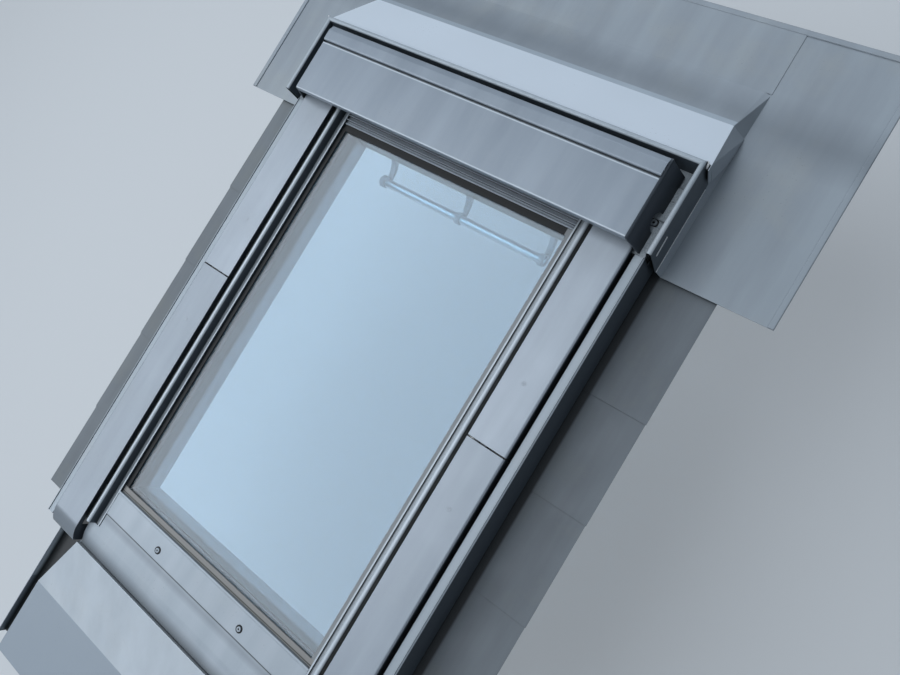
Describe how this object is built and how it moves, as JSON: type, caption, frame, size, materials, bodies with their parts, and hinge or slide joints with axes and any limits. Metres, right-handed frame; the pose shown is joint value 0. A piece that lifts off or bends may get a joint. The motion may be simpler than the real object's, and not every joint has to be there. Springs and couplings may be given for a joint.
{
  "type": "roof skylight",
  "caption": "Centre-pivot roof window with grey coated covers, hood, double glazed sash, control bar and slate flashing.",
  "frame": {"origin": "middle of the room face of the timber frame, half way between the flashing's upper and lower edges", "axes": "+Y up the slope towards the hood, +Z out of the roof, +X to the right seen from outside"},
  "size_m": [1.098, 1.64, 0.187],
  "materials": {
    "coated_covers": "satin grey polyester coating",
    "coated_flashing": "satin grey polyester coating, weathered",
    "saddle_sheet": "dark grey coating, matt",
    "soaker_sheet": "dark grey coating, matt",
    "white_timber": "pine with white polyurethane coating",
    "glass": "clear float glass with a pale coating",
    "black_seal": "matt",
    "spacer_bar": "dull",
    "zinc_steel": "zinc plated",
    "bolt_brass": "satin",
    "grey_clips": "moulded",
    "brown_foam": "open foam strip",
    "bar_aluminium": "satin anodised",
    "white_moulding": "moulded"
  },
  "bodies": {
    "frame": {"apron": "coated_flashing", "bolt_bushes": "bolt_brass", "bracket_bottom_left": "zinc_steel", "bracket_bottom_right": "zinc_steel", "bracket_screws": "zinc_steel", "bracket_top_left": "zinc_steel", "bracket_top_right": "zinc_steel", "channel_screws": "zinc_steel", "channel_strips": "brown_foam", "cover_clips": "grey_clips", "flashing_cleats": "zinc_steel", "frame_head": "white_timber", "frame_hinge_left": "zinc_steel", "frame_hinge_right": "zinc_steel", "frame_seal": "black_seal", "frame_sill": "white_timber", "frame_stile_left": "white_timber", "frame_stile_right": "white_timber", "head_flashing": "saddle_sheet", "head_leg_left": "coated_flashing", "head_leg_right": "coated_flashing", "head_rail": "coated_flashing", "hood": "coated_covers", "hood_clips": "grey_clips", "hood_end_left": "coated_covers", "hood_end_right": "coated_covers", "side_flashing_left": "coated_flashing", "side_flashing_right": "coated_flashing", "soakers_left": "soaker_sheet", "soakers_right": "soaker_sheet", "striker_plate": "zinc_steel", "upper_cover_left": "coated_covers", "upper_cover_right": "coated_covers"},
    "sash": {"barrel_housing": "white_moulding", "bead_left": "coated_covers", "bead_right": "coated_covers", "bottom_bead": "coated_covers", "bottom_cover": "coated_covers", "bottom_screws": "zinc_steel", "glazing_gasket": "black_seal", "latch_case": "zinc_steel", "lower_cover_left": "coated_covers", "lower_cover_right": "coated_covers", "pane_inner": "glass", "pane_outer": "glass", "sash_bottom_rail": "white_timber", "sash_clips": "grey_clips", "sash_hinge_left": "zinc_steel", "sash_hinge_right": "zinc_steel", "sash_stile_left": "white_timber", "sash_stile_right": "white_timber", "sash_top_cover": "coated_covers", "sash_top_rail": "white_timber", "spacer": "spacer_bar"},
    "flap": {"vent_flap": "white_timber", "control_bar": "bar_aluminium", "bar_brackets": "white_moulding"},
    "latch": {"latch_bolt": "zinc_steel"},
    "barrel": {"barrel_bolt": "bolt_brass"}
  },
  "joints": [
    {"name": "sash_pivot", "type": "hinge", "parent": "frame", "child": "sash", "pos_m": [0, 0.027, 0.1475], "axis": [-1, 0, 0], "range_deg": [0, 160]},
    {"name": "vent_flap_hinge", "type": "hinge", "parent": "sash", "child": "flap", "pos_m": [0, 0.456, 0.046], "axis": [1, 0, 0], "range_deg": [0, 45]},
    {"name": "latch_slide", "type": "slide", "parent": "sash", "child": "latch", "axis": [0, 1, 0], "range_m": [0, 0.009]},
    {"name": "barrel_slide", "type": "slide", "parent": "sash", "child": "barrel", "axis": [1, 0, 0], "range_m": [0, 0.012]}
  ]
}
